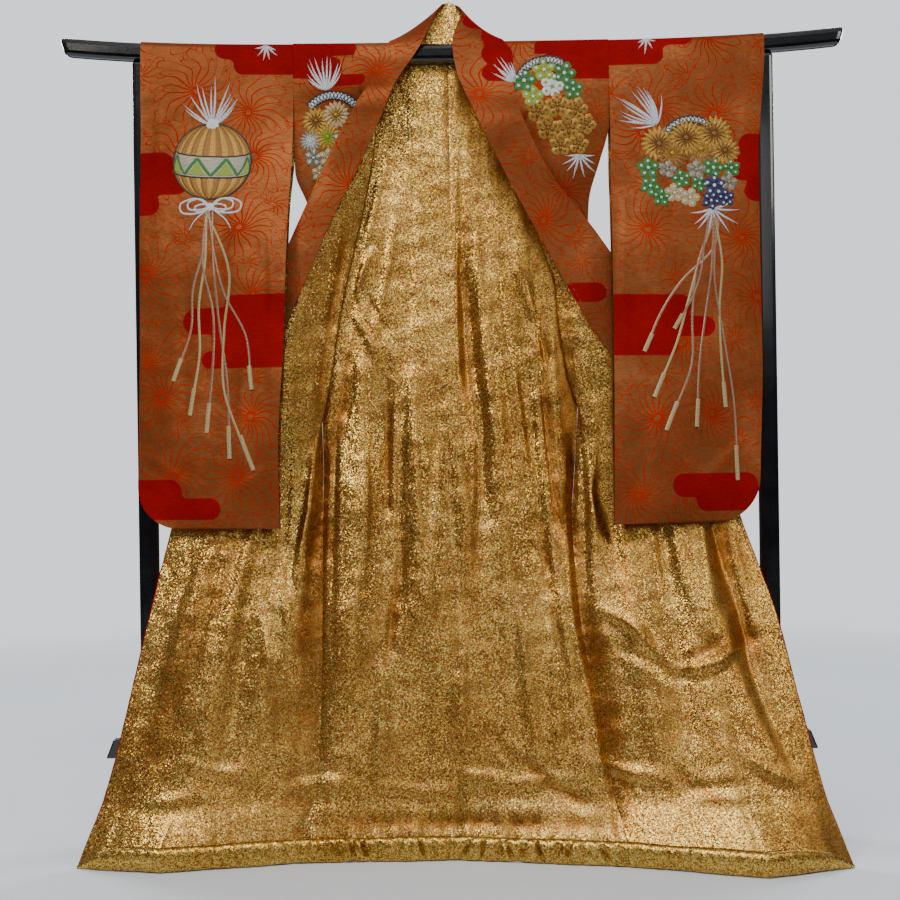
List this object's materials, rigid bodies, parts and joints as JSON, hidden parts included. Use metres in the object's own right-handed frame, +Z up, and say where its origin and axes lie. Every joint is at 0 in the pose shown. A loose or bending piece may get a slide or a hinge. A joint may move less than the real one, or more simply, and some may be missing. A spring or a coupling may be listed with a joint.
{
  "type": "uchikake wedding kimono on a stand",
  "caption": "Lined bridal uchikake kimono with fronts turned outwards, deep sleeves and a padded gathered hem, hung over the top bar of a lacquered kimono stand.",
  "frame": {"origin": "bottom centre of the object's box, on the floor", "axes": "+X to the right as seen from the front, +Y to the back, away from the viewer, +Z up"},
  "size_m": [1.6378, 0.5648, 1.7455],
  "materials": {
    "figured_silk": "satin",
    "gold_lame": "metallic",
    "black_lacquer": "gloss"
  },
  "bodies": {
    "root": {"body_left": "figured_silk", "body_right": "figured_silk", "collar": "figured_silk", "fuki_back_left": "gold_lame", "fuki_back_right": "gold_lame", "fuki_front_left": "gold_lame", "fuki_front_right": "gold_lame", "fuki_okumi_left": "gold_lame", "fuki_okumi_right": "gold_lame", "lining_left": "gold_lame", "lining_right": "gold_lame", "okumi_left": "figured_silk", "okumi_lining_left": "gold_lame", "okumi_lining_right": "gold_lame", "okumi_right": "figured_silk", "sleeve_left": "figured_silk", "sleeve_right": "figured_silk", "stand_bar": "black_lacquer", "stand_foot_left": "black_lacquer", "stand_foot_right": "black_lacquer", "stand_post_left": "black_lacquer", "stand_post_right": "black_lacquer", "stand_rail": "black_lacquer"}
  },
  "joints": []
}
